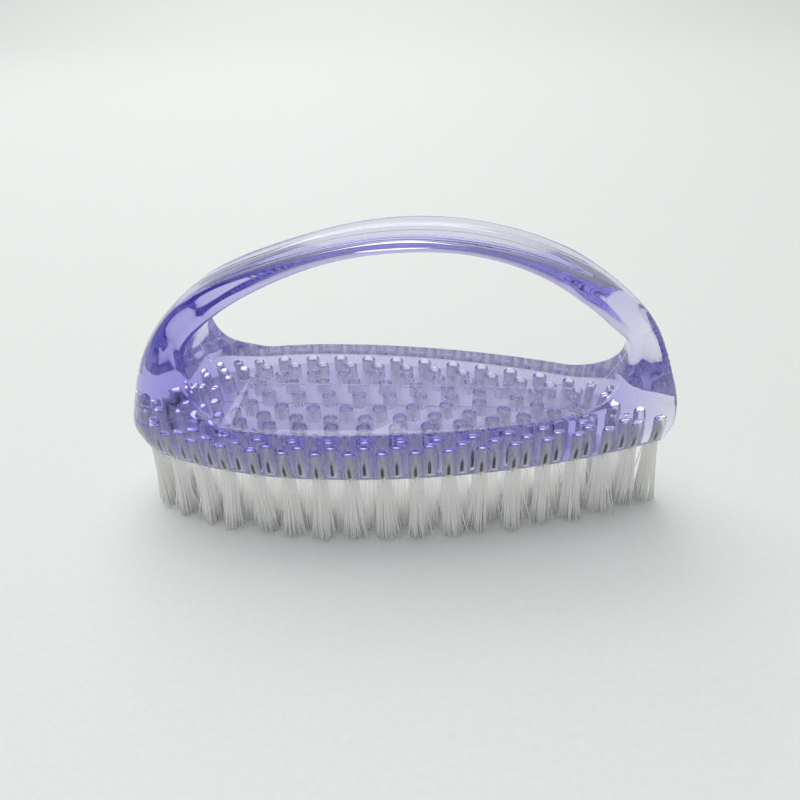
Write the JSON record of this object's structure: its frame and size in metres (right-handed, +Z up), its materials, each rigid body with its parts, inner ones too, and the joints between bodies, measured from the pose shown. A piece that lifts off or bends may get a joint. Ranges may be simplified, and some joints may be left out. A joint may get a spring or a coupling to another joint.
{
  "type": "nail brush",
  "caption": "Oval nail and hand brush with a clear violet body, a loop handle over the fingers and tufts of white nylon bristles.",
  "frame": {"origin": "bottom centre of the brush: on the surface its bristle tips stand on, under the middle of its length and width", "axes": "+X along the brush towards its narrow end, +Y across it towards the rear, +Z up"},
  "size_m": [0.1078, 0.0366, 0.058],
  "materials": {
    "violet_plastic": "clear, polished",
    "white_nylon": "fine filaments",
    "anchor_metal": "cut strip"
  },
  "bodies": {
    "root": {"handle_body": "violet_plastic", "outer_rear_tufts": "white_nylon", "outer_rear_anchors": "anchor_metal", "outer_front_tufts": "white_nylon", "outer_front_anchors": "anchor_metal", "outer_ends_tufts": "white_nylon", "outer_ends_anchors": "anchor_metal", "second_rear_tufts": "white_nylon", "second_rear_anchors": "anchor_metal", "second_front_tufts": "white_nylon", "second_front_anchors": "anchor_metal", "second_ends_tufts": "white_nylon", "second_ends_anchors": "anchor_metal", "third_rear_tufts": "white_nylon", "third_rear_anchors": "anchor_metal", "third_front_tufts": "white_nylon", "third_front_anchors": "anchor_metal", "third_ends_tufts": "white_nylon", "third_ends_anchors": "anchor_metal", "inner_rear_tufts": "white_nylon", "inner_rear_anchors": "anchor_metal", "inner_front_tufts": "white_nylon", "inner_front_anchors": "anchor_metal", "inner_ends_tufts": "white_nylon", "inner_ends_anchors": "anchor_metal", "centre_tufts": "white_nylon", "centre_anchors": "anchor_metal"}
  },
  "joints": []
}
